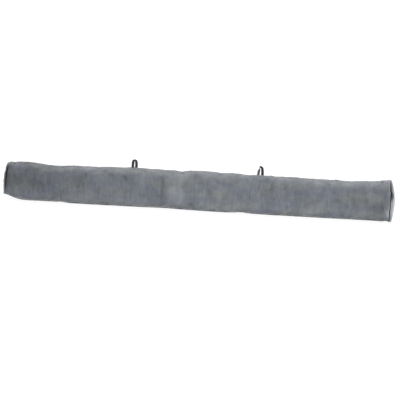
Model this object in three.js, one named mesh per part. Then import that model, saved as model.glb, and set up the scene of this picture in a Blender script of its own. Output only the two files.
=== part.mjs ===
// Draught excluder: a long stuffed roll of short-pile cloth that lies along the foot of a door.
// Millimetres, +Z up. X runs along the roll, -Y is its front, and Z = 0 is the floor it lies on.
// The origin is the middle of the footprint.

import * as THREE from 'three';
import { mergeVertices } from 'three/addons/utils/BufferGeometryUtils.js';

// The cover
const seamToSeam = 900; // along the roll, between its two end seams
const fullHeight = 84; // floor to top, before the stuffing's unevenness
const fullDepth = 92; // front to back, likewise
const sag = 3; // how far the round underside would reach below the floor, were the floor not there
const squareness = 2.5; // 2 is a true oval, more is fuller in the corners
const seamAngle = -11.25; // the lengthwise seam, degrees from the top towards the front
const seamPinch = 1.2; // how far that seam draws the cloth in
const facetsAround = 32;
const stationPitch = 8; // between rings of points along the roll

// How the stuffing lies: a row for each lump or neck. at is along the roll, top and depth are added to
// the full height and depth, sway moves the section to the back, and lift raises the underside.
const stuffing = [
  { at: -450, top: -1.0, depth: -11, sway: 1.0, lift: 11.0 },
  { at: -437, top: -0.6, depth: -8, sway: 1.0, lift: 6.0 },
  { at: -421, top: -0.2, depth: -3, sway: 0.5, lift: 1.6 },
  { at: -403, top: 0.2, depth: 0, sway: 0.0, lift: 0.8 },
  { at: -335, top: -4.6, depth: -3, sway: -1.0, lift: 1.4 },
  { at: -300, top: -2.2, depth: -1, sway: -1.0, lift: 0 },
  { at: -262, top: -1.4, depth: 1, sway: -0.5, lift: 0 },
  { at: -145, top: 2.0, depth: 0, sway: 1.0, lift: 0 },
  { at: -72, top: 0.4, depth: -2, sway: 0.5, lift: 1.2 },
  { at: -44, top: 0.0, depth: -3, sway: 0.5, lift: 0.4 },
  { at: 8, top: 3.8, depth: 2, sway: 0.0, lift: 0 },
  { at: 58, top: 2.8, depth: 1, sway: -1.0, lift: 0 },
  { at: 102, top: 0.6, depth: -2, sway: -1.0, lift: 1.2 },
  { at: 150, top: 1.6, depth: 1, sway: 0.0, lift: 0 },
  { at: 262, top: 0.4, depth: 2, sway: 1.0, lift: 0 },
  { at: 345, top: 0.2, depth: -2, sway: 0.5, lift: 0.5 },
  { at: 400, top: 2.0, depth: -1, sway: 0.0, lift: 1.0 },
  { at: 450, top: 9.0, depth: -3, sway: 0.0, lift: 0 },
];

// The main folds: at is where along the roll, from and to are degrees round it from the top towards the
// front, depth is how far the cloth is drawn in (less than nothing is a ridge), width is half the fold's
// own width, and lean is how far its lower end lies further along.
const folds = [
  { at: -434, from: -40, to: 22, depth: 2.6, width: 8, lean: 2 },
  { at: -320, from: 128, to: 178, depth: 1.6, width: 9, lean: 4 },
  { at: -297, from: 36, to: 98, depth: 1.8, width: 8, lean: 10 },
  { at: -276, from: 38, to: 96, depth: 1.5, width: 8, lean: -9 },
  { at: -245, from: 48, to: 104, depth: 1.8, width: 8, lean: 0 },
  { at: -198, from: 52, to: 104, depth: 1.6, width: 8, lean: -6 },
  { at: -88, from: 26, to: 138, depth: 3.2, width: 8, lean: 2 },
  { at: -66, from: 40, to: 132, depth: -1.6, width: 13, lean: 0 },
  { at: -41, from: -34, to: 20, depth: 2.8, width: 9, lean: 0 },
  { at: 0, from: 18, to: 86, depth: 2.4, width: 8, lean: 2 },
  { at: 57, from: -36, to: 24, depth: 1.8, width: 9, lean: 0 },
  { at: 105, from: 118, to: 172, depth: 2.0, width: 9, lean: -4 },
  { at: 168, from: 14, to: 86, depth: 2.6, width: 8, lean: 2 },
  { at: 398, from: 92, to: 142, depth: 2.2, width: 17, lean: 6 },
  { at: -372, from: -138, to: -52, depth: 2.0, width: 10, lean: 6 },
  { at: -214, from: -128, to: -44, depth: 2.6, width: 9, lean: -8 },
  { at: -104, from: -142, to: -58, depth: 2.2, width: 9, lean: 4 },
  { at: 36, from: -120, to: -40, depth: 2.8, width: 9, lean: -4 },
  { at: 204, from: -136, to: -54, depth: 2.2, width: 10, lean: 8 },
  { at: 316, from: -122, to: -46, depth: 2.4, width: 9, lean: -6 },
];

// The rolled lip beside each end seam, inwards from the seam: out is how far the cloth stands proud.
const lip = [
  { in: 0, out: -0.6 },
  { in: 1.4, out: 0.7 },
  { in: 4.0, out: 0.9 },
  { in: 9.0, out: 0 },
];

// The end panels, a round of cloth sewn over each end and crowned by the stuffing behind it. crown is how
// far it bulges past its seam, peak is how far the bulge's top lies above the middle, and skew is how far
// the seam's foot stands out past its middle.
const panelGap = 0.3; // between the panel and the cover's end
const panelSize = 0.985; // the panel's size, with the roll's end as 1
const panelRim = [ // the rounded rim: radius as a share of the panel's own, and height off its back
  { radius: 0.95, height: 0 },
  { radius: 0.995, height: 0.6 },
  { radius: 0.99, height: 1.4 },
  { radius: 0.95, height: 1.8 },
];
const domeRings = [0.86, 0.72, 0.54, 0.32, 0.14, 0]; // radii of the dome's rings, likewise
const domeFullness = 1.8; // less is more pointed
const skewReach = 90; // how much of the roll beside each seam leans with it
const endPanels = [
  { name: 'end_panel_left', side: -1, crown: 6.5, peak: 3, skew: 2.6 },
  { name: 'end_panel_right', side: 1, crown: 12.5, peak: 8, skew: 1.6 },
];

// The hanging loops of narrow woven tape, caught in the lengthwise seam. Each leg stands flat to the
// front at its foot and turns a quarter turn on its way up, so that the arch is seen on its edge. A leg's
// straight is how high it stands upright, its round how full the arch is on that side, and its flat the
// share of its length before the turn starts.
const tapeWidth = 5;
const tapeThickness = 1.2;
const loopGap = 0.3; // between the tape's cut ends and the cover
const turnEnd = 0.92; // share of a leg's length by which the quarter turn is done
const tapeSteps = 32;
const nearby = 0.01; // the share of the tape over which its direction is taken
const loops = [
  {
    name: 'hanging_loop_left',
    at: -152,
    height: 21,
    halfWidth: 5.3,
    apex: 0,
    legs: [
      { side: -1, straight: 16, round: 1.0, flat: 0.52 },
      { side: 1, straight: 14, round: 1.0, flat: 0.46 },
    ],
  },
  {
    name: 'hanging_loop_right',
    at: 144,
    height: 23,
    halfWidth: 5.45,
    apex: -0.6,
    legs: [
      { side: -1, straight: 11, round: 0.5, flat: 0.1 },
      { side: 1, straight: 16, round: 0.95, flat: 0.5 },
    ],
  },
];

const velvetColour = 0x7a7e84;
const tapeColour = 0x35363a;

const degrees = THREE.MathUtils.degToRad;
const power = (value, exponent) => Math.sign(value) * Math.abs(value) ** exponent;

// A column of the stuffing table, eased from row to row.
function stuffed(x, column) {
  const last = stuffing.length - 1;
  const clamped = THREE.MathUtils.clamp(x, stuffing[0].at, stuffing[last].at);
  const next = Math.max(1, stuffing.findIndex((row) => row.at >= clamped));
  const [low, high] = [stuffing[next - 1], stuffing[next]];
  return THREE.MathUtils.lerp(low[column], high[column], THREE.MathUtils.smoothstep(clamped, low.at, high.at));
}

// How far the folds draw the cloth in at a place on the cover, angle in degrees from the top.
function foldDepth(x, angle) {
  let depth = 0;
  for (const fold of folds) {
    const middle = (fold.from + fold.to) / 2;
    const along = (angle - middle) / ((fold.to - fold.from) / 2);
    if (Math.abs(along) >= 1) continue;
    const off = (x - fold.at - fold.lean * along) / fold.width;
    depth += fold.depth * Math.exp(-off * off) * (1 - along * along);
  }
  return depth;
}

// A point of the roll's section at x. angle runs from the top towards the front, size is the share of the
// way out from the section's middle, and drawn is how far the skin is drawn in there.
function sectionPoint(x, angle, size = 1, drawn = 0) {
  const lift = stuffed(x, 'lift');
  const top = fullHeight + stuffed(x, 'top');
  const middle = (top + lift) / 2;
  const halfHeight = (top - lift) / 2 - drawn;
  const halfDepth = (fullDepth + stuffed(x, 'depth')) / 2 - drawn;
  const below = Math.cos(angle) < 0 ? sag : 0;
  const y = stuffed(x, 'sway') - halfDepth * power(Math.sin(angle), 2 / squareness) * size;
  const z = middle + (halfHeight + below) * power(Math.cos(angle), 2 / squareness) * size;
  return { y, z: Math.max(z, lift * size + middle * (1 - size)) };
}

// How far the lip beside an end seam stands proud of the cover at x.
function lipOut(x) {
  const inward = seamToSeam / 2 - Math.abs(x);
  for (let i = 1; i < lip.length; i += 1) {
    const [low, high] = [lip[i - 1], lip[i]];
    if (inward <= high.in) return THREE.MathUtils.mapLinear(inward, low.in, high.in, low.out, high.out);
  }
  return 0;
}

// How far the skin is drawn in by the folds and the lengthwise seam, less what the lip adds.
function drawnIn(x, angle) {
  const turned = THREE.MathUtils.radToDeg(angle);
  const fromSeam = Math.abs(turned - seamAngle) / (360 / facetsAround);
  return foldDepth(x, turned) + seamPinch * Math.max(0, 1 - fromSeam) - lipOut(x);
}

// The end seams are not quite square to the roll: their feet stand out a little.
function seamSkew(x, z) {
  const end = endPanels[x < 0 ? 0 : 1];
  const share = THREE.MathUtils.smoothstep(Math.abs(x), seamToSeam / 2 - skewReach, seamToSeam / 2);
  return end.side * end.skew * share * (1 - z / (fullHeight / 2));
}

// A closed, merged mesh of one piece, each point of the given geometry moved by place().
function piece(name, geometry, place, colour) {
  geometry.deleteAttribute('normal');
  geometry.deleteAttribute('uv');
  const merged = mergeVertices(geometry);
  const points = merged.attributes.position;
  const point = new THREE.Vector3();
  for (let i = 0; i < points.count; i += 1) {
    place(point.fromBufferAttribute(points, i));
    points.setXYZ(i, point.x, point.y, point.z);
  }
  merged.computeVertexNormals();
  const mesh = new THREE.Mesh(merged, new THREE.MeshStandardMaterial({ color: colour, roughness: 0.95, metalness: 0 }));
  mesh.name = name;
  return mesh;
}

// Rings of the cover along X: close together at the lips, evenly spaced between them.
function coverStations() {
  const half = seamToSeam / 2;
  const inner = half - lip[lip.length - 1].in;
  const spans = Math.round((2 * inner) / stationPitch);
  const left = lip.map((row) => -half + row.in);
  const middle = Array.from({ length: spans - 1 }, (_, i) => -inner + ((i + 1) * 2 * inner) / spans);
  const right = lip.map((row) => half - row.in).reverse();
  return [...left, ...middle, ...right];
}

// The stuffed cover: a tube whose rings follow the section, flat where it lies on the floor.
function rollCover() {
  const stations = coverStations();
  const tube = new THREE.CylinderGeometry(1, 1, 1, facetsAround, stations.length - 1);
  return piece('roll_cover', tube, (point) => {
    const x = stations[Math.round((point.y + 0.5) * (stations.length - 1))];
    const size = Math.round(Math.hypot(point.x, point.z)); // 1 on the skin, 0 at the middle of an end
    const angle = Math.atan2(point.x, point.z);
    const { y, z } = sectionPoint(x, angle, size, drawnIn(x, angle));
    point.set(x + seamSkew(x, z), y, z);
  }, velvetColour);
}

// A crowned end panel: a flat back against the cover's end, a rounded rim and a shallow dome.
function endPanel({ name, side, crown, peak }) {
  const foot = panelRim[panelRim.length - 1];
  const profile = [
    new THREE.Vector2(0, 0),
    ...panelRim.map(({ radius, height }) => new THREE.Vector2(radius, height)),
    ...domeRings.map((radius) => {
      const share = 1 - (radius / foot.radius) ** domeFullness;
      return new THREE.Vector2(radius, foot.height + (crown - foot.height) * share);
    }),
  ];
  for (const point of profile) point.y *= side;
  if (side < 0) profile.reverse();
  const seam = side * (seamToSeam / 2);
  return piece(name, new THREE.LatheGeometry(profile, facetsAround), (point) => {
    const size = Math.hypot(point.x, point.z);
    const { y, z } = sectionPoint(seam, Math.atan2(point.x, point.z), size * panelSize);
    const raised = z + (peak * (1 - size * size) * point.y) / (side * crown);
    point.set(seam + side * panelGap + point.y + seamSkew(seam, z), y, raised);
  }, velvetColour);
}

// A hanging loop: flat tape along an arch, its two legs turning from flat-on to edge-on.
function hangingLoop({ name, at, height, halfWidth, apex, legs }) {
  const angle = degrees(seamAngle);
  const reach = halfWidth + tapeWidth / 2;
  const feet = [-reach, 0, reach].map((off) => sectionPoint(at + off, angle, 1, drawnIn(at + off, angle)));
  const base = Math.max(...feet.map((foot) => foot.z)) + loopGap;
  const [left, right] = legs.map(({ side, straight, round }) => new THREE.CubicBezierCurve3(
    new THREE.Vector3(side * halfWidth, 0, 0),
    new THREE.Vector3(side * halfWidth, 0, straight),
    new THREE.Vector3(apex + side * halfWidth * round, 0, height),
    new THREE.Vector3(apex, 0, height),
  ));
  const pathPoint = (share) => (share < 0.5 ? left.getPointAt(share * 2) : right.getPointAt(2 - share * 2));
  const across = new THREE.Vector3(0, 1, 0);
  const tape = new THREE.BoxGeometry(tapeWidth, tapeThickness, 1, 2, 1, tapeSteps);
  const mesh = piece(name, tape, (point) => {
    const share = THREE.MathUtils.clamp(point.z + 0.5, 0, 1);
    const start = pathPoint(Math.max(0, share - nearby));
    const along = pathPoint(Math.min(1, share + nearby)).sub(start).normalize();
    const up = Math.min(share, 1 - share) * 2;
    const turn = (Math.PI / 2) * THREE.MathUtils.smoothstep(up, legs[share < 0.5 ? 0 : 1].flat, turnEnd);
    const inPlane = new THREE.Vector3().crossVectors(along, across);
    const widthWay = inPlane.multiplyScalar(Math.cos(turn)).addScaledVector(across, Math.sin(turn));
    const thickWay = new THREE.Vector3().crossVectors(along, widthWay);
    point.copy(pathPoint(share).addScaledVector(widthWay, point.x).addScaledVector(thickWay, point.y));
  }, tapeColour);
  mesh.position.set(at, feet[1].y, base);
  return mesh;
}

const draughtExcluder = new THREE.Group();
draughtExcluder.add(rollCover());
for (const panel of endPanels) draughtExcluder.add(endPanel(panel));
for (const loop of loops) draughtExcluder.add(hangingLoop(loop));

// The origin is the middle of the footprint.
const bounds = new THREE.Box3().setFromObject(draughtExcluder);
const middle = bounds.getCenter(new THREE.Vector3());
draughtExcluder.position.set(-middle.x, -middle.y, -bounds.min.z);

export default draughtExcluder;
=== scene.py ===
import math

import bpy
import numpy as np
from mathutils import Matrix, Vector
from mathutils.bvhtree import BVHTree


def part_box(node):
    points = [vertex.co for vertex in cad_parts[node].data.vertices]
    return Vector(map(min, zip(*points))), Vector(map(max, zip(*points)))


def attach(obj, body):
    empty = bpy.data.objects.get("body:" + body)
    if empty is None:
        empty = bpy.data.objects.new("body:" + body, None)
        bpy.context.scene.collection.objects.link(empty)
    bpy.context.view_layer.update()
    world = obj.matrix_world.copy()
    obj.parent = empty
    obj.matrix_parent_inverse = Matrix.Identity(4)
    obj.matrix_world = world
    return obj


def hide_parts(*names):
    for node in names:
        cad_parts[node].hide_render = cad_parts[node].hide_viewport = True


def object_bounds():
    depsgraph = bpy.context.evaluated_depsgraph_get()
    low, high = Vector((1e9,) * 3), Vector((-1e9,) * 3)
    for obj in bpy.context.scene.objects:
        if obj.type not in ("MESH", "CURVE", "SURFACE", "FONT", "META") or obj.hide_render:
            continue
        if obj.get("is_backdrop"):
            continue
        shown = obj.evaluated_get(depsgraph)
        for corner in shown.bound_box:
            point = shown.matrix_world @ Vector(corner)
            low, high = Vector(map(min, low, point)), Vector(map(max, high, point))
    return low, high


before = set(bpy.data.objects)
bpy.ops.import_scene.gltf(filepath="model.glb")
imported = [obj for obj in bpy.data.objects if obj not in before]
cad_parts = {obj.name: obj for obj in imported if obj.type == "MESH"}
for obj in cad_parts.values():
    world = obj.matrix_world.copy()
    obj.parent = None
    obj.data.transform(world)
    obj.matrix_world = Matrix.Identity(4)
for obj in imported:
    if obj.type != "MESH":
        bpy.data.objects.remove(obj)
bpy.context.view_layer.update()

scene = bpy.context.scene
mm = 0.001  # every size below is in millimetres; meshes are made in metres

# the roll lies along X, its front is -Y, the floor is z = 0
leftSeam, rightSeam = -453.0, 447.0   # where the end panels are sewn on
seamTurn = -11.25                     # lengthwise seam, degrees from the top towards the front


def hexColour(code):
    # an sRGB hex colour as the linear one a shader socket takes
    parts = [int(code[i:i + 2], 16) / 255 for i in (1, 3, 5)]
    return (*[p / 12.92 if p <= 0.04045 else ((p + 0.055) / 1.055) ** 2.4 for p in parts], 1.0)


def easeStep(value, low, high):
    share = np.clip((value - low) / (high - low), 0, 1)
    return share * share * (3 - 2 * share)


def blurGrid(field, alongReach, aroundReach):
    # softens values on the ring grid; reaches are in grid steps, and the second axis closes on itself
    for axis, reach in ((0, alongReach), (1, aroundReach)):
        half = int(math.ceil(3 * reach))
        if half < 1:
            continue
        weights = np.exp(-0.5 * (np.arange(-half, half + 1) / reach) ** 2)
        weights /= weights.sum()
        room = [(half, half) if a == axis else (0, 0) for a in range(field.ndim)]
        wide = np.pad(field, room, mode="wrap" if axis == 1 else "edge")
        field = sum(w * np.take(wide, range(k, k + field.shape[axis]), axis=axis)
                    for k, w in enumerate(weights))
    return field


def roughGrid(shape, alongReach, aroundReach, seed):
    # seeded unevenness, about 1 high, with lumps of the given size in grid steps
    field = blurGrid(np.random.default_rng(seed).standard_normal(shape), alongReach, aroundReach)
    return field / field.std()


def gridNormals(grid):
    along = np.gradient(grid, axis=0)
    around = np.roll(grid, -1, axis=1) - np.roll(grid, 1, axis=1)
    normals = np.cross(around, along)
    return normals / np.maximum(np.linalg.norm(normals, axis=2, keepdims=True), 1e-9)


def gridMesh(name, grid, values=None):
    # rings of points in mm become a closed mesh in metres, with a fan over each end ring
    rings, steps = grid.shape[:2]
    index = np.arange(rings * steps).reshape(rings, steps)
    after = np.roll(index, -1, axis=1)
    quads = np.stack([index[:-1], after[:-1], after[1:], index[1:]], axis=-1).reshape(-1, 4)
    startFan = [(int(b), int(a), rings * steps) for a, b in zip(index[0], after[0])]
    endFan = [(int(a), int(b), rings * steps + 1) for a, b in zip(index[-1], after[-1])]
    points = np.concatenate([grid.reshape(-1, 3), grid[:1].mean(axis=1), grid[-1:].mean(axis=1)]) * mm
    mesh = bpy.data.meshes.new(name)
    mesh.from_pydata(points.tolist(), [], quads.tolist() + startFan + endFan)
    mesh.shade_smooth()
    for key, field in (values or {}).items():
        layer = mesh.attributes.new(key, "FLOAT", "POINT")
        layer.data.foreach_set("value", np.append(field.reshape(-1), [field[0].mean(), field[-1].mean()]))
    piece = bpy.data.objects.new(name, mesh)
    scene.collection.objects.link(piece)
    return piece


# how the cover is blown up against its stuffing by the cloth solver
stuffing = {
    "pressure": 4.0,
    "spare": 0.03,         # share by which the cloth is cut longer than the form it covers
    "stretch": 14.0,
    "bend": 0.5,
    "frames": 20,
    "quality": 6,
    "seed": 11,
    "startInside": 1.5,    # mm inside its full form
    "uneven": 0.25,        # mm more or less than that, in lumps of unevenSize grid steps
    "unevenSize": 1.6,
    "mostMove": 4.0,       # mm, the most a point may move
    "wrinkleAbove": 16.0,  # mm; wider swells than this are left to the form itself
}


def wrinkleByCloth(name, grid, pinned, pitch):
    # runs Blender's cloth on the rings and returns how far each point ends up in or out of the form
    normals = gridNormals(grid)
    lump = stuffing["unevenSize"]
    uneven = stuffing["uneven"] * roughGrid(grid.shape[:2], lump, lump, stuffing["seed"])
    free = 1 - pinned
    start = grid - normals * ((stuffing["startInside"] + uneven) * free)[..., None]
    piece = gridMesh(name, start)
    group = piece.vertex_groups.new(name="pinned")
    flat = np.append(pinned.reshape(-1), [1, 1])
    for weight in np.unique(flat):
        group.add(np.flatnonzero(flat == weight).tolist(), float(weight), "REPLACE")
    cloth = piece.modifiers.new("cloth", "CLOTH")
    cloth.point_cache.frame_start, cloth.point_cache.frame_end = 1, stuffing["frames"]
    settings = cloth.settings
    settings.quality = stuffing["quality"]
    settings.use_pressure = True
    settings.uniform_pressure_force = stuffing["pressure"]
    settings.tension_stiffness = settings.compression_stiffness = stuffing["stretch"]
    settings.shear_stiffness = stuffing["stretch"] / 3
    settings.bending_stiffness = stuffing["bend"]
    settings.shrink_min = -stuffing["spare"]
    settings.vertex_group_mass = "pinned"
    settings.effector_weights.gravity = 0
    cloth.collision_settings.use_collision = False
    for step in range(1, stuffing["frames"] + 1):
        scene.frame_set(step)
    done = piece.evaluated_get(bpy.context.evaluated_depsgraph_get()).data
    points = np.empty(len(done.vertices) * 3)
    done.vertices.foreach_get("co", points)
    moved = points.reshape(-1, 3)[:-2].reshape(grid.shape) / mm - grid
    bpy.data.objects.remove(piece)
    scene.frame_set(1)
    out = np.clip((moved * normals).sum(axis=2), -stuffing["mostMove"], stuffing["mostMove"])
    reach = stuffing["wrinkleAbove"]
    wrinkle = out - blurGrid(out, reach / pitch[0], reach / pitch[1])
    print(f"  {name}: wrinkles of {wrinkle.std():.2f} mm, at most {abs(wrinkle).max():.2f} mm")
    return wrinkle * free


def resample(field, fromPlaces, toPlaces, steps):
    # values on one ring grid carried to a finer one, with the angle closing on itself
    turns = np.arange(steps) * field.shape[1] / steps
    base = np.floor(turns).astype(int)
    share = turns - base
    around = field[:, base % field.shape[1]] * (1 - share) + field[:, (base + 1) % field.shape[1]] * share
    return np.stack([np.interp(toPlaces, fromPlaces, around[:, j]) for j in range(steps)], axis=1)


# the roll: its cover with the stuffing in it
roll = {
    "girth": 285.0,                         # mm once round
    "traceRings": 421, "traceSteps": 96,    # the grid on which the solid is read, with its rays sent out
    "traceFrom": 46.0, "traceInside": 0.3,  # from this high, and this far or more inside the end seams
    "clothRings": 210, "clothSteps": 72,    # the solver's grid
    "ringPitch": 2.15, "steps": 160,        # the finished grid: mm between rings, points on each
    "endPitch": 0.4, "endZone": 12.0,       # rings stand closer beside the end seams,
    "endGrowth": 1.12,                      # and each step inwards from there is this much longer
    "pinned": 3.0, "pinnedUnder": 2.0,      # mm from a seam, and above the floor, where the cloth is held
    "softenAlong": 4.0, "softenAround": 4.0,
    "topTurn": -5.0, "topReach": 40.0,      # what counts as the top, in degrees
    "wrinkleGain": 0.6, "calmTop": 0.25,    # it lies smoother than the sides,
    "calmFrom": 4.0, "calmTo": 40.0,        # and the ends smoother still, where the cloth is stretched,
    "calmReach": 70.0,                      # for this much further along the top
    "unevenness": [                         # of the stuffing, in mm
        {"high": 0.3, "size": 26.0, "seed": 3},
        {"high": 0.12, "size": 7.0, "seed": 5},
    ],
    "crest": 2.0, "crestTurn": -14.0, "crestReach": 22.0,  # the cloth swells either side of its long seam,
    "crestFrom": {"left": 6.0, "right": 32.0},  # from this far in from each end
    "underShade": 1.5,                      # painted shade on the underside, where it meets the floor, between these turns
    "underFrom": 118.0, "underTo": 150.0,   # between these turns
    "lying": (0.6, 4.0),                    # mm over the floor between which the flat underside rounds off,
    "lyingEnds": (6.0, 20.0),               # and mm from the end seams over which it begins
    "fill": 0.85,
}

# how far the solid's own rolled lip stands out beside each end seam, inwards from the seam
solidLip = {"inward": (0, 1.4, 4.0, 9.0), "out": (-0.6, 0.7, 0.9, 0)}

# the end seams' feet stand further out than their tops, and half way up, at the middle, they do not
seamSkew = {"left": -2.6, "right": 1.6, "reach": 90.0, "middle": 42.0}

# along the top the stuffing stands up or sags: where, how high and how far to either side, in mm
topSwells = [
    (-433, 1.8, 14), (-345, 1.3, 22), (-250, -1.2, 14), (-190, -1.3, 18), (-60, 1.6, 32), (15, -1.6, 26),
    (85, 1.1, 28), (183, -0.9, 14), (225, 1.0, 14), (324, 1.0, 12), (395, 1.4, 14),
]

# the turned-in edge beside each end seam: inward from the seam, depth below the cover's surface
edgeProfile = {
    "inward": (0, 0.4, 0.9, 1.5, 2.4, 4.0, 7.0, 12.0, 20.0),
    "depth": (3.0, 2.2, 1.3, 0.3, -0.6, -0.7, 0.2, 0.15, 0),
    "groove": 0.3, "grooveReach": 8.0,   # deeper than this, and nearer than this, it is the groove itself
    "gather": 0.3, "gatherAt": 4.0, "gatherReach": 14.0, "gatherFade": (0.5, 3.0),
    "gatherLong": 40, "gatherWide": 4.4, "gatherSeed": 7,   # grid steps along, mm round
    "shiftReach": 18.0,                  # how far in the cover follows its seam's wander
    "flareTop": 5.0, "flareUnder": 8.0,  # how far in its lip flares at the top, and how much further below
    "flareTurns": (90.0, 120.0),         # the turns between which one becomes the other
}

# how deep and wide an end seam's groove is, as a share of the profile above
grooveSize = {"least": 0.45, "byGape": 0.75}

# how each end seam runs round the roll, in degrees from the top towards the front: shift is how far it
# wanders along the roll, gape how far its groove opens, shade how much painted shade (or, below 0, painted
# highlight on its lip) lies along it, and flare how far its lip is pushed out
endSeams = {
    "left": {
        "turn": (-180, -90, -12, 25, 45, 75, 100, 118, 135, 180),
        "shift": (0, 0, 0, -0.6, -1.0, -1.0, -0.4, 0, 0, 0),
        "gape": (0.5, 0.7, 0.2, 0.5, 1.1, 1.3, 0.95, 0.3, 0.2, 0.5),
        "shade": (0.3, 0.3, 0.2, 0.6, 1.6, 1.8, 0.7, 0.2, 0.2, 0.3),
        "flare": (0, 0, 0.5, 0.1, 0, 0, 0, 0, 0, 0),
        "shadeAt": 0.0, "shadeReach": 6.5,   # mm in from the seam
    },
    "right": {
        "turn": (-180, -90, -12, 10, 44, 53, 63, 70, 82, 100, 110, 125, 150, 180),
        "shift": (0, 0.5, 0.6, 0.8, 0.9, 3.6, 3.4, 2.4, 1.6, 1.4, 0.3, 0.2, 0, 0),
        "gape": (0.5, 0.7, 0.3, 0.4, 0.45, 1.0, 1.1, 0.45, 0.4, 0.65, 0.75, 0.5, 0.25, 0.5),
        "shade": (0.3, 0.3, -1.2, -2.4, -2.8, -1.0, 0.2, 0, -1.6, -2.6, -2.6, -1.6, 0, 0.3),
        "flare": (0, 0, 2.0, 0.8, 0.2, 0, 0, 0, 0, 0.4, 0.9, 1.8, 2.2, 0.5),
        "shadeAt": 2.2, "shadeReach": 1.3,
    },
}

# how far out of an end seam's groove its pile is crushed, with painted shade, in mm, and how much of that on
# the panel's side; crushed more than dull, it is painted near black as shade, with no sheen left
crushedAndShadedEdge = {"least": 0.35, "byGape": 1.0, "fade": 1.4, "onPanel": 0.6, "dull": 0.97}


def seamColumn(side, column, turn):
    return np.interp(turn, endSeams[side]["turn"], endSeams[side][column])


def grooveOf(gape):
    return grooveSize["least"] + grooveSize["byGape"] * gape


def leanAt(x):
    # how far the foot of a ring there stands out along the roll, beside the end seams
    left = seamSkew["left"] * easeStep(-x, -leftSeam - seamSkew["reach"], -leftSeam)
    right = seamSkew["right"] * easeStep(x, rightSeam - seamSkew["reach"], rightSeam)
    return left + right


def skewAt(x, z):
    return leanAt(x) * (1 - z / seamSkew["middle"])


def traceRoll(stations, steps):
    # reads the stuffed form off its solid: one point for each ring and each way round
    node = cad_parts["roll_cover"]
    tree = BVHTree.FromPolygons([v.co for v in node.data.vertices],
                                [tuple(p.vertices) for p in node.data.polygons])
    low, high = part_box("roll_cover")
    startZ = roll["traceFrom"]
    grid = np.zeros((len(stations), steps, 3))
    for i, place in enumerate(stations):
        x = min(max(place, leftSeam + roll["traceInside"]), rightSeam - roll["traceInside"])
        start = Vector((x + skewAt(place, startZ), (low.y + high.y) / 2 / mm, startZ)) * mm
        slope = -leanAt(place) / seamSkew["middle"]
        for j in range(steps):
            turn = 2 * math.pi * j / steps
            way = Vector((slope * math.cos(turn), -math.sin(turn), math.cos(turn)))
            hit = tree.ray_cast(start, way)[0]
            grid[i, j] = (place, hit.y / mm, hit.z / mm)
    return grid


def turnsOf(steps):
    # the ring's points in degrees from the top towards the front, -180 to 180
    return (np.degrees(2 * np.pi * np.arange(steps) / steps) + 180) % 360 - 180


def stationsFor(pitch, endPitch, endZone, growth):
    # places of the rings: close together beside the end seams
    length = rightSeam - leftSeam
    close = np.arange(0, endZone, endPitch)
    ease = [close[-1]]
    step = endPitch
    while step < pitch:
        step *= growth
        ease.append(ease[-1] + step)
    inner = np.array(ease[1:])
    edge = np.concatenate([close, inner])
    rest = length - 2 * edge[-1]
    middle = edge[-1] + np.arange(1, round(rest / pitch)) * rest / round(rest / pitch)
    return leftSeam + np.concatenate([edge, middle, length - edge[::-1]])


def fromSeams(stations):
    return np.minimum(stations - leftSeam, rightSeam - stations)


def softForm(stations, steps):
    # the traced form without its facets or its solid lip
    even = np.linspace(leftSeam, rightSeam, roll["traceRings"])
    pitch = even[1] - even[0]
    traced = traceRoll(even, roll["traceSteps"])
    lipOut = np.interp(fromSeams(even), solidLip["inward"], solidLip["out"])
    traced -= gridNormals(traced) * lipOut[:, None, None]
    soft = blurGrid(traced, roll["softenAlong"] / pitch,
                    roll["softenAround"] / (roll["girth"] / roll["traceSteps"]))
    soft[..., 0] = even[:, None]
    return np.stack([resample(soft[..., k], even, stations, steps) for k in range(3)], axis=2)


print("tracing the stuffed form")
clothPlaces = np.linspace(leftSeam, rightSeam, roll["clothRings"])
clothForm = softForm(clothPlaces, roll["clothSteps"])
turns = turnsOf(roll["clothSteps"])[None, :]
offSeam = np.abs(turns - seamTurn) / 360 * roll["girth"]
pinned = np.maximum.reduce([
    np.broadcast_to((fromSeams(clothPlaces) < roll["pinned"])[:, None] * 1.0, clothForm.shape[:2]),
    np.broadcast_to((offSeam < roll["pinned"]) * 1.0, clothForm.shape[:2]),
    (clothForm[..., 2] < roll["pinnedUnder"]) * 1.0,
])

print("blowing up the cover")
pitches = (clothPlaces[1] - clothPlaces[0], roll["girth"] / roll["clothSteps"])
coverWrinkles = wrinkleByCloth("coverCloth", clothForm, pinned, pitches)

print("finishing the cover")
places = stationsFor(roll["ringPitch"], roll["endPitch"], roll["endZone"], roll["endGrowth"])
form = softForm(places, roll["steps"])
size = form.shape[:2]
around = turnsOf(roll["steps"])[None, :] * np.ones((size[0], 1))
along = places[:, None] * np.ones((1, size[1]))
inward = fromSeams(places)[:, None] * np.ones((1, size[1]))
onLeft = along < 0
stepAround = roll["girth"] / roll["steps"]


def endColumn(column):
    return np.where(onLeft, seamColumn("left", column, around), seamColumn("right", column, around))


nearTop = np.exp(-((around - roll["topTurn"]) / roll["topReach"]) ** 2)
calm = 1 - (1 - roll["calmTop"]) * nearTop
out = roll["wrinkleGain"] * calm * resample(coverWrinkles, clothPlaces, places, roll["steps"])
for row in roll["unevenness"]:
    lumps = roughGrid(size, row["size"] / roll["ringPitch"], row["size"] / stepAround, row["seed"])
    out = out + row["high"] * lumps
out = out * easeStep(inward, roll["calmFrom"], roll["calmTo"] + roll["calmReach"] * nearTop)
out = out + roll["crest"] * np.exp(-((around - roll["crestTurn"]) / roll["crestReach"]) ** 2) * easeStep(
    inward, 0, np.where(onLeft, roll["crestFrom"]["left"], roll["crestFrom"]["right"]))
for at, high, reach in topSwells:
    out = out + high * nearTop * np.exp(-((along - at) / reach) ** 2)

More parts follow.
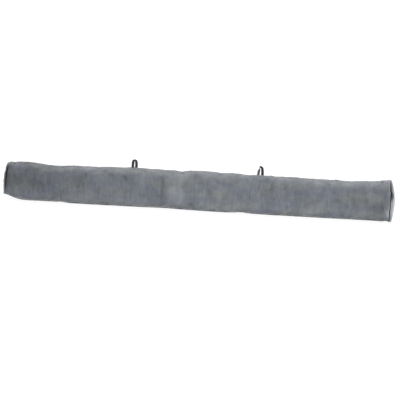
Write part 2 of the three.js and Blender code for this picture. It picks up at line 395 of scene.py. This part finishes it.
# the turned-in edges, gathered by their stitches
gape = endColumn("gape")
gathers = roughGrid(size, edgeProfile["gatherLong"], edgeProfile["gatherWide"] / stepAround,
                    edgeProfile["gatherSeed"])
gatherFade = np.exp(-((inward - edgeProfile["gatherAt"]) / edgeProfile["gatherReach"]) ** 2)
gatherFade = gatherFade * easeStep(inward, *edgeProfile["gatherFade"])
opened = np.where(inward < edgeProfile["grooveReach"], inward / grooveOf(gape), inward)
edgeDepth = np.interp(opened, edgeProfile["inward"], edgeProfile["depth"])
edgeDepth = edgeDepth * np.where(edgeDepth > edgeProfile["groove"], grooveOf(gape), 1)
out = out - edgeDepth + edgeProfile["gather"] * gathers * gatherFade
flareReach = easeStep(np.abs(around), *edgeProfile["flareTurns"])
flareReach = edgeProfile["flareTop"] + edgeProfile["flareUnder"] * flareReach
out = out + endColumn("flare") * np.exp(-(inward / flareReach) ** 2)

# small tucks caught by the end seams' stitches: at is along the roll and turn round it, long and wide are
# half a tuck's size in mm and in degrees, deep is in mm, and crushed how much painted shade darkens its pile
tucks = [
    {"at": -438, "turn": 4, "long": 2.8, "wide": 17, "deep": 1.6, "crushedAndShaded": 0.9},
    {"at": 429, "turn": 6, "long": 3.0, "wide": 12, "deep": 1.1, "crushedAndShaded": 0.8},
]
crushedAndShadedTucks = np.zeros(size)
for row in tucks:
    caught = np.exp(-((along - row["at"]) / row["long"]) ** 2 - ((around - row["turn"]) / row["wide"]) ** 2)
    out = out - row["deep"] * caught
    crushedAndShadedTucks = np.maximum(crushedAndShadedTucks, row["crushedAndShaded"] * caught)

# the lengthwise seam: a narrow channel with the cloth puckered either side, and painted shade on the crushed
# pile in it
channel = {
    "depth": 2.0, "width": 1.5, "crushedAndShaded": 0.75, "crushedAndShadedWide": 0.9,
    "sway": 0.8, "swayLong": 14, "swaySeed": 9,   # mm to either side, and its length in grid steps
    "pucker": 0.45, "puckerReach": 9.0, "puckerEnds": (3.0, 12.0),
    "puckerLong": 3.6, "puckerWide": 3, "puckerSeed": 13,   # mm along, grid steps round
}
sway = channel["sway"] * roughGrid((size[0], 1), channel["swayLong"], 0, channel["swaySeed"])
offChannel = (around - seamTurn) / 360 * roll["girth"] - sway
puckers = roughGrid(size, channel["puckerLong"] / roll["ringPitch"], channel["puckerWide"],
                    channel["puckerSeed"])
out = out - channel["depth"] * np.exp(-(offChannel / channel["width"]) ** 2)
puckerFade = np.exp(-(offChannel / channel["puckerReach"]) ** 2) * easeStep(inward, *channel["puckerEnds"])
out = out + channel["pucker"] * puckers * puckerFade

normals = gridNormals(form)
cover = form + normals * out[..., None]
cover[..., 0] += skewAt(along, cover[..., 2])
cover[..., 0] += endColumn("shift") * np.exp(-(inward / edgeProfile["shiftReach"]) ** 2)
cover[..., 2] = np.maximum(cover[..., 2], 0)
# flat where it lies: the underside keeps none of the unevenness
lying = 1 - easeStep(form[..., 2], *roll["lying"])
cover[..., 2] *= 1 - lying * easeStep(inward, *roll["lyingEnds"])

# the pile crushed in the seams' grooves, the tucks and the lengthwise channel, darkened there by painted
# shade
crushedAndShadedWide = crushedAndShadedEdge["least"] + crushedAndShadedEdge["byGape"] * gape
crushedAndShaded = 1 - easeStep(inward, crushedAndShadedWide, crushedAndShadedWide + crushedAndShadedEdge["fade"])
crushedAndShaded = np.maximum(crushedAndShaded, crushedAndShadedTucks)
inChannel = np.exp(-(offChannel / (channel["width"] * channel["crushedAndShadedWide"])) ** 2)
crushedAndShaded = np.maximum(crushedAndShaded, channel["crushedAndShaded"] * inChannel)

# the plainest marks of brushed pile, with painted shade and highlights among them, given in the same way; a
# tone above 0 is paler, below it darker
napAndPaintedLightMarks = [
    {"at": -430, "turn": 55, "long": 190, "wide": 95, "tone": -1.4},   # the end that is handled most
    {"at": -405, "turn": -12, "long": 30, "wide": 16, "tone": -1.8},   # the left end, darker all over and along its top edge
    {"at": -255, "turn": 10, "long": 22, "wide": 16, "tone": 1.0},
    {"at": -172, "turn": 50, "long": 6, "wide": 10, "tone": -1.6},
    {"at": -84, "turn": 85, "long": 5, "wide": 35, "tone": -1.2},      # painted shade on one side of a fold and painted highlight on the other
    {"at": -58, "turn": 95, "long": 15, "wide": 25, "tone": 0.9},      # and pale on the other
    {"at": -42, "turn": 78, "long": 4, "wide": 26, "tone": 1.3},
    {"at": -42, "turn": 10, "long": 5, "wide": 8, "tone": -2.0},
    {"at": -17, "turn": 118, "long": 6, "wide": 9, "tone": -1.6},
    {"at": 171, "turn": 48, "long": 4, "wide": 28, "tone": -1.2},
    {"at": 275, "turn": 30, "long": 8, "wide": 20, "tone": 1.0},
    {"at": 325, "turn": 86, "long": 10, "wide": 8, "tone": -1.3},
    {"at": 408, "turn": 104, "long": 26, "wide": 22, "tone": -1.2},
    {"at": 442, "turn": 117, "long": 5, "wide": 15, "tone": 3.2},      # painted highlight on the lip below the right end's seam
]

# how ragged their edges are: along the roll in mm, round it in degrees, and in lumps of some grid steps
raggedStroke = {"long": 1.5, "wide": 3.0, "lump": 4, "longSeed": 31, "wideSeed": 32}


def brushedNapAndPaintedLight(x, turn):
    # how pale or dark the pile lies at a place, with the painted shade and highlights listed among the marks
    lump = raggedStroke["lump"]
    x = x + raggedStroke["long"] * roughGrid(x.shape, lump, lump, raggedStroke["longSeed"])
    turn = turn + raggedStroke["wide"] * roughGrid(x.shape, lump, lump, raggedStroke["wideSeed"])
    tone = np.zeros(x.shape)
    for row in napAndPaintedLightMarks:
        offLong = (x - row["at"]) / row["long"]
        offWide = (turn - row["turn"]) / row["wide"]
        tone += row["tone"] * np.exp(-(offLong ** 2 + offWide ** 2))
    return tone


def besideSeam(side):
    return np.exp(-((inward - endSeams[side]["shadeAt"]) / endSeams[side]["shadeReach"]) ** 2)


napAndPaintedLight = brushedNapAndPaintedLight(along, around)
# painted shade beside the end seams, and painted highlight along the right end's lip
napAndPaintedLight = napAndPaintedLight - endColumn("shade") * np.where(onLeft, besideSeam("left"), besideSeam("right"))
# painted shade along the underside
napAndPaintedLight = napAndPaintedLight - roll["underShade"] * easeStep(np.abs(around), roll["underFrom"], roll["underTo"])
rollCover = gridMesh("rollCover", cover, {"crushedAndShaded": crushedAndShaded, "napAndPaintedLight": napAndPaintedLight})


# the end panels: peak is how far the crown's top lies above the panel's middle; the last pair is how strong
# the painted shade and highlight round it are, and how much painted shade darkens the whole panel
endPanels = {
    "left": {"seam": leftSeam, "side": -1, "crown": 5.0, "peak": -5.0, "ring": 0, "fill": 0.55, "seed": 21,
             "napAndPaintedLight": (0.3, -0.6)},
    "right": {"seam": rightSeam, "side": 1, "crown": 13.5, "peak": 3.0, "ring": -1, "fill": 0.85, "seed": 22,
              "napAndPaintedLight": (1.0, 0.0)},
    "gap": -0.4, "steps": 160, "fullness": 1.8, "domeRings": 39, "domeMiddle": 0.02,
    # the rim: how far out from the seam, and depth below the cover's surface
    "rimOut": (0.0, 0.4, 0.6, 0.85, 1.15, 1.6, 2.2, 3.0, 3.9, 4.9),
    "rimDepth": (5.0, 3.2, 2.2, 1.3, 0.7, 0.25, 0.1, 0.35, 1.3, 3.0),
    "grooveRings": 6,      # the first of them, which open with the seam
    "gather": 0.45,        # puckers, in mm; they fade towards the middle and into the groove
    "gatherSize": (0.45, 0.95), "gatherOut": (1.2, 3.5),
    "gatherLong": 6, "gatherWide": 2.2,   # grid steps across the panel and round it
    "wander": (0.3, 0.95),   # the shares of its size between which a panel takes up its seam's wander, and its painted shade and highlight, which are given for each turn
    "paintedLightFrom": (0.3, 0.9),   # and its nap, which is given for each turn
    "paintedLightTurn": (-180, -60, 30, 55, 70, 82, 110, 180),
    "paintedLightTone": (-0.5, 0, -0.8, -2.6, -1.0, 3.0, 3.0, -0.5),
}


def panelPiece(side):
    row = endPanels[side]
    turn = turnsOf(endPanels["steps"])
    outline = form[row["ring"], :, 1:]
    centre = np.array([outline[:, 0].mean(), (outline[:, 1].max() + outline[:, 1].min()) / 2])
    flare = seamColumn(side, "flare", turn)
    outline = outline + gridNormals(form)[row["ring"], :, 1:] * flare[:, None]
    radius = np.linalg.norm(outline - centre, axis=1)
    gaping = seamColumn(side, "gape", turn)
    rings = np.arange(len(endPanels["rimOut"]))[:, None]
    rimOut = np.array(endPanels["rimOut"])[:, None] * np.ones(len(turn))
    rimDepth = np.array(endPanels["rimDepth"])[:, None] * np.where(
        rings < endPanels["grooveRings"], grooveOf(gaping), 1)
    rimSize = 1 - rimDepth / radius
    domeShare = np.linspace(1, endPanels["domeMiddle"], endPanels["domeRings"] + 1)[1:, None]
    domeShare = domeShare * np.ones(len(turn))
    domeOut = rimOut[-1] + (row["crown"] - rimOut[-1]) * (1 - domeShare ** endPanels["fullness"])
    sizes = np.concatenate([rimSize, rimSize[-1] * domeShare])
    outs = np.concatenate([rimOut, domeOut])
    grid = np.zeros((*sizes.shape, 3))
    grid[..., 1:] = centre + sizes[..., None] * (outline - centre)
    grid[..., 2] += row["peak"] * np.clip(1 - sizes ** 2, 0, 1) * outs / row["crown"]
    gatherNoise = roughGrid(sizes.shape, endPanels["gatherLong"], endPanels["gatherWide"], row["seed"])
    gatherFade = easeStep(sizes, *endPanels["gatherSize"]) * easeStep(outs, *endPanels["gatherOut"])
    skew = skewAt(np.full(sizes.shape, row["seam"]), grid[..., 2])
    shift = seamColumn(side, "shift", turn) * easeStep(sizes, *endPanels["wander"])
    lift = endPanels["gather"] * gatherNoise * gatherFade
    grid[..., 0] = row["seam"] + row["side"] * (endPanels["gap"] + outs + lift) + skew + shift
    grid[..., 2] = np.maximum(grid[..., 2], 0)
    # the panel's rim in the groove is crushed and darkened by painted shade too
    crushedAndShadedWide = crushedAndShadedEdge["onPanel"] * (crushedAndShadedEdge["least"] + crushedAndShadedEdge["byGape"] * gaping)
    crushedAndShadedRim = 1 - easeStep(outs, crushedAndShadedWide, crushedAndShadedWide + crushedAndShadedEdge["onPanel"] * crushedAndShadedEdge["fade"])
    strong, dark = row["napAndPaintedLight"]
    # painted shade and highlight round the panel, by turn
    napAndPaintedLight = np.interp(turn, endPanels["paintedLightTurn"], endPanels["paintedLightTone"]) * easeStep(sizes, *endPanels["paintedLightFrom"])
    napAndPaintedLight = strong * napAndPaintedLight + dark
    if row["side"] < 0:   # so that its faces look outwards
        grid, crushedAndShadedRim, napAndPaintedLight = grid[::-1], crushedAndShadedRim[::-1], napAndPaintedLight[::-1]
    return gridMesh(f"endPanel{side.capitalize()}", grid, {"crushedAndShaded": crushedAndShadedRim, "napAndPaintedLight": napAndPaintedLight})


print("sewing on the end panels")
panelLeft = panelPiece("left")
panelRight = panelPiece("right")


# the hanging loops of narrow woven tape, in mm; its section is squared off, with a bead at each selvedge
tape = {
    "width": 6.4, "thick": 1.1, "square": 0.5, "selvedge": 0.3, "selvedgeFrom": 0.36,
    "sunk": 3.0, "turnEnd": 0.95, "pathSteps": 200, "steps": 120, "across": 28,
}
# a loop's legs are foot and then half away from its middle; each is straight up to there, round is how full
# its arch is, and it turns edge-on from flat upwards, by most degrees at the top; where the first leg is
# turned over, it shows the tape's back
loopShapes = {
    "Left": {
        "node": "hanging_loop_left", "at": -155.4, "height": 19.0, "foot": 4.1, "half": 4.35, "apex": 0.0,
        "straight": (15, 13), "round": (1.0, 1.0), "flat": (0.72, 0.72), "most": 55, "turnedOver": False,
    },
    "Right": {
        "node": "hanging_loop_right", "at": 141.0, "height": 22.0, "foot": 4.9, "half": 4.9, "apex": -0.6,
        "straight": (9, 15), "round": (0.35, 0.95), "flat": (0.45, 0.72), "most": 62, "turnedOver": True,
    },
}


def bezier(points, share):
    a, b, c, d = [np.array(p, float) for p in points]
    s = share[:, None]
    return (1 - s) ** 3 * a + 3 * (1 - s) ** 2 * s * b + 3 * (1 - s) * s ** 2 * c + s ** 3 * d


def loopPiece(side):
    shape = loopShapes[side]
    low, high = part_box(shape["node"])
    legs = []
    for way, straight, fullness in zip((-1, 1), shape["straight"], shape["round"]):
        leg = bezier([(way * shape["foot"], 0, 0), (way * shape["half"], 0, straight),
                      (shape["apex"] + way * shape["half"] * fullness, 0, shape["height"]),
                      (shape["apex"], 0, shape["height"])], np.linspace(0, 1, tape["pathSteps"]))
        legs.append(np.concatenate([[(way * shape["foot"], 0, -tape["sunk"])], leg]))
    path = np.concatenate([legs[0], legs[1][::-1][1:]])
    length = np.concatenate([[0], np.cumsum(np.linalg.norm(np.diff(path, axis=0), axis=1))])
    share = np.linspace(0, 1, tape["steps"])
    line = np.stack([np.interp(share * length[-1], length, path[:, k]) for k in range(3)], axis=1)
    direction = np.gradient(line, axis=0)
    direction /= np.linalg.norm(direction, axis=1, keepdims=True)
    apexShare = length[len(legs[0]) - 1] / length[-1]
    onFirst = share < apexShare
    up = np.where(onFirst, share / apexShare, (1 - share) / (1 - apexShare))
    flat = np.where(onFirst, *shape["flat"])
    most = math.radians(shape["most"])
    turn = most * easeStep(up, flat, tape["turnEnd"])
    if shape["turnedOver"]:
        turn = np.where(onFirst, math.pi - (math.pi - most) * easeStep(up, flat, 1.0), turn)
    inPlane = np.cross(direction, np.array([0, 1, 0]))
    widthWay = inPlane * np.cos(turn)[:, None] + np.array([0, 1, 0]) * np.sin(turn)[:, None]
    thickWay = np.cross(direction, widthWay)
    ring = 2 * np.pi * np.arange(tape["across"]) / tape["across"]
    flatWay = np.sign(np.cos(ring)) * np.abs(np.cos(ring)) ** tape["square"] * tape["width"] / 2
    bead = 1 + tape["selvedge"] * (np.abs(flatWay) > tape["width"] * tape["selvedgeFrom"])
    outWay = np.sign(np.sin(ring)) * np.abs(np.sin(ring)) ** tape["square"] * tape["thick"] / 2 * bead
    grid = line[:, None] + flatWay[None, :, None] * widthWay[:, None]
    grid = grid + outWay[None, :, None] * thickWay[:, None]
    grid = grid + np.array([shape["at"], (low.y + high.y) / 2 / mm, low.z / mm])
    whole = np.ones(grid.shape[:2])
    values = {"tapeAlong": share[:, None] * length[-1] * whole, "tapeBack": (outWay < 0) * whole}
    return gridMesh(f"hangingLoop{side}", grid, values)


print("sewing in the hanging loops")
loopLeft = loopPiece("Left")
loopRight = loopPiece("Right")


def node(tree, kind, settings=None, stops=(), **inputs):
    # one shader node: settings are its own properties, stops are places and colours along a ramp, and
    # inputs are values or links by socket name
    made = tree.nodes.new(kind)
    for key, value in (settings or {}).items():
        setattr(made, key, value)
    for position, code in stops[1:-1]:
        made.color_ramp.elements.new(position)
    for number, (position, code) in enumerate(stops):
        made.color_ramp.elements[number].position = position
        made.color_ramp.elements[number].color = hexColour(code)
    for key, value in inputs.items():
        socket = made.inputs[int(key[1:])] if key[0] == "_" else made.inputs[key.replace("__", " ")]
        if isinstance(value, bpy.types.NodeSocket):
            tree.links.new(value, socket)
        else:
            socket.default_value = value
    return made


def bareMaterial(name):
    made = bpy.data.materials.new(name)
    made.use_nodes = True
    made.node_tree.nodes.clear()
    return made, made.node_tree


velvet = {
    # sizes are in mm and shares are of the tone, which runs from pile that lies in its own shade to pile
    # brushed against the light; each of its stops is a place in the tone and a colour
    "tones": ((0, "#46494d"), (0.22, "#56595e"), (0.5, "#75787c"), (0.78, "#909396"), (1, "#a2a5a8")),
    # painted shade, near black, for the crushed pile deep in the seams
    "crushedAndShaded": "#1c1d20",
    "hues": ((0.38, "#737677"), (0.62, "#6b6f79")),   # the dye leans from grey to blue
    "hueShare": 0.9, "hueSize": 26.0, "hueLong": 80.0, "hueSeed": 28.0,
    "roughness": 0.92, "ior": 1.46, "sheen": 1.0, "sheenRoughness": 0.27,
    "patchSize": 30.0, "patchShare": 0.46,
    "streakWide": 8.0, "streakLong": 40.0, "streakShare": 0.19,   # brush marks run round the roll
    # the pile's own pitch is under 1 mm, too fine to show, so it is drawn coarser: in tufts, and as a bump
    "tuftSize": 3.2, "tuftShare": 0.2,
    "pileSize": 1.3, "pileHeight": 0.5, "pileBump": 0.6,
    "partingSize": 30.0, "partingShare": 0.12, "parting": (0.52, 0.78),   # parted, it shows its darker root
    "markShare": 0.15,
}


def velvetMaterial(name, seen):
    # polyester velvet, warp-knitted with its short pile brushed: dull, with pale and dark strokes of nap, and
    # painted shade and highlights carried with them
    made, tree = bareMaterial(name)
    place = node(tree, "ShaderNodeTexCoord").outputs["Object"]
    pile = node(tree, "ShaderNodeTexNoise", Vector=place, Scale=1000 / velvet["pileSize"], Detail=2.0,
                Roughness=0.6)
    bump = node(tree, "ShaderNodeBump", Strength=velvet["pileBump"], Distance=velvet["pileHeight"] * mm,
                Height=pile.outputs["Fac"])
    if seen == "crushedAndShaded":
        # pile pressed flat in a seam, with painted shade deep in its groove, gives back almost no light
        shader = node(tree, "ShaderNodeBsdfPrincipled", Base__Color=hexColour(velvet["crushedAndShaded"]),
                      Roughness=velvet["roughness"], Normal=bump.outputs["Normal"])
        node(tree, "ShaderNodeOutputMaterial", Surface=shader.outputs["BSDF"])
        return made
    patches = node(tree, "ShaderNodeTexNoise", Vector=place, Scale=1000 / velvet["patchSize"], Detail=2.0,
                   Roughness=0.5, Distortion=0.5)
    wide, long = 1000 / velvet["streakWide"], 1000 / velvet["streakLong"]
    streakPlace = node(tree, "ShaderNodeVectorMath", {"operation": "MULTIPLY"}, _0=place,
                       _1=(wide, long, long))
    streaks = node(tree, "ShaderNodeTexNoise", Vector=streakPlace.outputs[0], Scale=1.0, Detail=2.0,
                   Roughness=0.55, Distortion=0.35)
    tufts = node(tree, "ShaderNodeTexNoise", Vector=place, Scale=1000 / velvet["tuftSize"], Detail=1.0)
    wide, long = 1000 / velvet["hueSize"], 1000 / velvet["hueLong"]
    huePlace = node(tree, "ShaderNodeVectorMath", {"operation": "MULTIPLY"}, _0=place, _1=(long, wide, wide))
    hue = node(tree, "ShaderNodeTexNoise", {"noise_dimensions": "4D"}, Vector=huePlace.outputs[0],
               W=velvet["hueSeed"], Scale=1.0, Detail=2.5, Distortion=0.4)
    parted = node(tree, "ShaderNodeTexNoise", Vector=streakPlace.outputs[0], Detail=1.5, Roughness=0.5,
                  Scale=velvet["streakLong"] / velvet["partingSize"], Distortion=0.8)
    parting = node(tree, "ShaderNodeMapRange", Value=parted.outputs["Fac"], From__Min=velvet["parting"][0],
                   From__Max=velvet["parting"][1])
    marks = node(tree, "ShaderNodeAttribute", {"attribute_name": "napAndPaintedLight"})
    # how pale the pile lies: patches, streaks and tufts round a half, then the brushed marks, which carry
    # painted shade and highlights too, and partings
    tone = 0.5 - 0.5 * (velvet["patchShare"] + velvet["streakShare"] + velvet["tuftShare"])
    for source, share in ((patches.outputs["Fac"], velvet["patchShare"]),
                          (streaks.outputs["Fac"], velvet["streakShare"]),
                          (tufts.outputs["Fac"], velvet["tuftShare"]),
                          (marks.outputs["Fac"], velvet["markShare"]),
                          (parting.outputs[0], -velvet["partingShare"])):
        added = node(tree, "ShaderNodeMath", {"operation": "MULTIPLY_ADD"}, _0=source, _1=share, _2=tone)
        tone = added.outputs[0]
    ramp = node(tree, "ShaderNodeValToRGB", stops=velvet["tones"], Fac=tone)
    shade = node(tree, "ShaderNodeValToRGB", stops=velvet["hues"], Fac=hue.outputs["Fac"])
    tinted = node(tree, "ShaderNodeMix", {"data_type": "RGBA", "blend_type": "COLOR"}, _0=velvet["hueShare"],
                  _6=ramp.outputs["Color"], _7=shade.outputs["Color"])
    # darkened towards near black where crushed: painted shade in the seams, tucks and channel
    crushedAndShaded = node(tree, "ShaderNodeAttribute", {"attribute_name": "crushedAndShaded"})
    colour = node(tree, "ShaderNodeMix", {"data_type": "RGBA"}, _0=crushedAndShaded.outputs["Fac"],
                  _6=tinted.outputs[2], _7=hexColour(velvet["crushedAndShaded"]))
    shader = node(tree, "ShaderNodeBsdfPrincipled", Base__Color=colour.outputs[2],
                  Roughness=velvet["roughness"], IOR=velvet["ior"], Sheen__Weight=velvet["sheen"],
                  Sheen__Roughness=velvet["sheenRoughness"], Normal=bump.outputs["Normal"])
    node(tree, "ShaderNodeOutputMaterial", Surface=shader.outputs["BSDF"])
    return made


tapeLook = {
    "colour": "#2e2f33", "light": "#44454a", "back": "#77797e", "roughness": 0.85,
    "thread": 0.6, "ribHeight": 0.15, "ribBump": 0.6,   # mm from rib to rib, and high
}


def tapeMaterial():
    # woven polyester tape, plain weave: near black and dull, with faint ribs across it and a paler back
    made, tree = bareMaterial("wovenPolyesterTape")
    along = node(tree, "ShaderNodeAttribute", {"attribute_name": "tapeAlong"})
    ribTurn = node(tree, "ShaderNodeMath", {"operation": "MULTIPLY"}, _0=along.outputs["Fac"],
                   _1=2 * math.pi / tapeLook["thread"])
    ribs = node(tree, "ShaderNodeMath", {"operation": "SINE"}, _0=ribTurn.outputs[0])
    place = node(tree, "ShaderNodeTexCoord").outputs["Object"]
    threads = node(tree, "ShaderNodeTexNoise", Vector=place, Scale=1000 / tapeLook["thread"], Detail=2.0)
    colour = node(tree, "ShaderNodeMix", {"data_type": "RGBA"}, _0=threads.outputs["Fac"],
                  _6=hexColour(tapeLook["colour"]), _7=hexColour(tapeLook["light"]))
    back = node(tree, "ShaderNodeAttribute", {"attribute_name": "tapeBack"})
    colour = node(tree, "ShaderNodeMix", {"data_type": "RGBA"}, _0=back.outputs["Fac"],
                  _6=colour.outputs[2], _7=hexColour(tapeLook["back"]))
    bump = node(tree, "ShaderNodeBump", Strength=tapeLook["ribBump"], Distance=tapeLook["ribHeight"] * mm,
                Height=ribs.outputs[0])
    shader = node(tree, "ShaderNodeBsdfPrincipled", Base__Color=colour.outputs[2],
                  Roughness=tapeLook["roughness"], Normal=bump.outputs["Normal"])
    node(tree, "ShaderNodeOutputMaterial", Surface=shader.outputs["BSDF"])
    return made


print("dyeing the velvet and the tape")
velvetCloth = velvetMaterial("brushedPolyesterVelvet", "open")
crushedAndShadedCloth = velvetMaterial("crushedVelvetWithPaintedShade", "crushedAndShaded")
wovenTape = tapeMaterial()


def velvetOn(piece):
    # only faces deep in a seam take the crushed pile with its painted shade, so that its edge is soft
    mesh = piece.data
    mesh.materials.append(velvetCloth)
    mesh.materials.append(crushedAndShadedCloth)
    deep = np.empty(len(mesh.vertices))
    mesh.attributes["crushedAndShaded"].data.foreach_get("value", deep)
    chosen = [int(np.mean([deep[k] for k in face.vertices]) > crushedAndShadedEdge["dull"]) for face in mesh.polygons]
    mesh.polygons.foreach_set("material_index", chosen)


for piece, nodeName, fill in ((rollCover, "roll_cover", roll["fill"]),
                              (panelLeft, "end_panel_left", endPanels["left"]["fill"]),
                              (panelRight, "end_panel_right", endPanels["right"]["fill"])):
    velvetOn(piece)
    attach(piece, "root")
    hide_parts(nodeName)

for piece, nodeName in ((loopLeft, "hanging_loop_left"), (loopRight, "hanging_loop_right")):
    piece.data.materials.append(wovenTape)
    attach(piece, "root")
    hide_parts(nodeName)


# the studio: a plain pale floor, soft light from above, in front and behind, and a long lens; sizes are in
# metres and power is in watts
studio = {
    "floor": 60.0, "floorColour": "#727272", "floorRoughness": 0.9, "floorShine": 0.1,
    "floorGlow": 0.92,   # the paper is lit from below, so that the roll's shadow on it stays faint
    "world": 0.3, "lampsAimAt": (0, 0, 0.04),
    "lights": {
        "overhead": {"at": (0.0, 0.3, 3.6), "size": (5.0, 4.0), "power": 120.0},
        "front": {"at": (0.6, -4.0, 0.9), "size": (5.0, 2.5), "power": 75.0},
        "behind": {"at": (0.0, 3.2, 2.4), "size": (5.0, 1.6), "power": 100.0},
    },
}
camera = {
    "azimuth": 2.0, "elevation": 15.0, "roll": 2.9,   # degrees
    "distance": 6.5, "lookAt": (0, 0, 0.043), "right": 0.0016, "down": 0.0222,   # metres
    "lens": 248.9, "sensor": 36.0,   # mm
    "nearest": 0.1, "furthest": 200.0,   # metres, what it draws
}


def studioSet():
    mesh = bpy.data.meshes.new("floor")
    half = studio["floor"] / 2
    corners = [(-half, -half, 0), (half, -half, 0), (half, half, 0), (-half, half, 0)]
    mesh.from_pydata(corners, [], [(0, 1, 2, 3)])
    floor = bpy.data.objects.new("floor", mesh)
    scene.collection.objects.link(floor)
    # matt paper, grey by itself and white by its glow
    made = bpy.data.materials.new("mattWhitePaper")
    made.use_nodes = True
    shader = made.node_tree.nodes["Principled BSDF"]
    shader.inputs["Base Color"].default_value = hexColour(studio["floorColour"])
    shader.inputs["Roughness"].default_value = studio["floorRoughness"]
    shader.inputs["Specular IOR Level"].default_value = studio["floorShine"]
    shader.inputs["Emission Color"].default_value = (1, 1, 1, 1)
    shader.inputs["Emission Strength"].default_value = studio["floorGlow"]
    mesh.materials.append(made)
    floor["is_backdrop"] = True
    world = bpy.data.worlds.new("studioWorld")
    world.use_nodes = True
    world.node_tree.nodes["Background"].inputs["Color"].default_value = (1, 1, 1, 1)
    world.node_tree.nodes["Background"].inputs["Strength"].default_value = studio["world"]
    scene.world = world
    for name, row in studio["lights"].items():
        lamp = bpy.data.lights.new(name, "AREA")
        lamp.shape = "RECTANGLE"
        lamp.size, lamp.size_y = row["size"]
        lamp.energy = row["power"]
        holder = bpy.data.objects.new(name, lamp)
        holder.location = row["at"]
        aim = Vector(studio["lampsAimAt"]) - Vector(row["at"])
        holder.rotation_euler = aim.to_track_quat("-Z", "Y").to_euler()
        scene.collection.objects.link(holder)
    scene.view_settings.view_transform = "Standard"


def cameraSet():
    azimuth, elevation, rolled = [math.radians(camera[key]) for key in ("azimuth", "elevation", "roll")]
    back = Vector((math.sin(azimuth) * math.cos(elevation), -math.cos(azimuth) * math.cos(elevation),
                   math.sin(elevation)))
    level = Vector((math.cos(azimuth), math.sin(azimuth), 0))
    up = back.cross(level)
    sideways = level * math.cos(rolled) + up * math.sin(rolled)
    upwards = up * math.cos(rolled) - level * math.sin(rolled)
    lens = bpy.data.cameras.new("longLens")
    lens.lens, lens.sensor_width = camera["lens"], camera["sensor"]
    lens.clip_start, lens.clip_end = camera["nearest"], camera["furthest"]
    holder = bpy.data.objects.new("longLens", lens)
    aim = Vector(camera["lookAt"]) + sideways * camera["right"] - upwards * camera["down"]
    holder.matrix_world = Matrix.Translation(aim + back * camera["distance"]) @ Matrix(
        (sideways, upwards, back)).transposed().to_4x4()
    scene.collection.objects.link(holder)
    scene.camera = holder


print("setting the studio")
studioSet()
cameraSet()

low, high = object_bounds()
